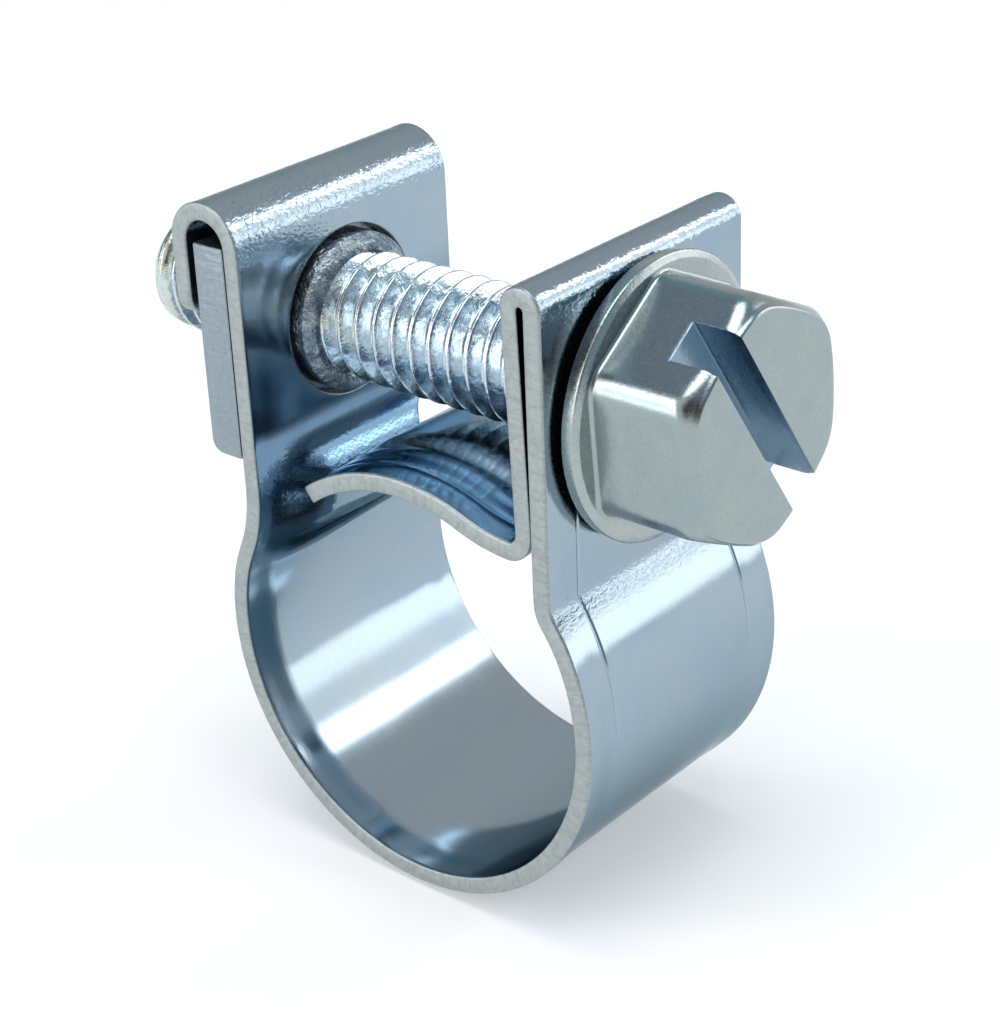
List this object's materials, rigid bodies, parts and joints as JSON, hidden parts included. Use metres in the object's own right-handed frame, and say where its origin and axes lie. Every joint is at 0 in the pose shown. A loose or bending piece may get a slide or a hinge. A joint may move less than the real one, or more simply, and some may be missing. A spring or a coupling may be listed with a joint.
{
  "type": "hose clamp",
  "caption": "Bolt-tightened mini hose clamp: a sprung steel band with two ears, drawn together by a slotted hex flange screw in a captive collar nut.",
  "frame": {"origin": "centre of the bounding box in X and Y, at the lowest point of the band loop", "axes": "+X along the screw towards its head, +Y across the band's width, +Z from the loop up to the ears"},
  "size_m": [0.022, 0.009, 0.0201],
  "materials": {
    "zinc_band": "bright blue-passivated zinc on sheet steel",
    "zinc_nut": "zinc plated, sheared edges",
    "zinc_screw": "zinc plated, faint yellow-green passivation"
  },
  "bodies": {
    "band_body": {"band": "zinc_band"},
    "nut_body": {"nut": "zinc_nut"},
    "screw_body": {"screw": "zinc_screw"}
  },
  "joints": [
    {"name": "screw_turn", "type": "hinge", "parent": "band_body", "child": "screw_body", "pos_m": [0.00145, 0, 0.01578], "axis": [-1, 0, 0], "range_deg": [-2161, 772]},
    {"name": "nut_travel", "type": "slide", "parent": "band_body", "child": "nut_body", "axis": [1, 0, 0], "range_m": [-0.0042, 0.0015], "deforming": ["band"]}
  ],
  "couplings": [
    {"joint": "screw_turn", "follows": "nut_travel", "rad_per_m": 8976}
  ]
}
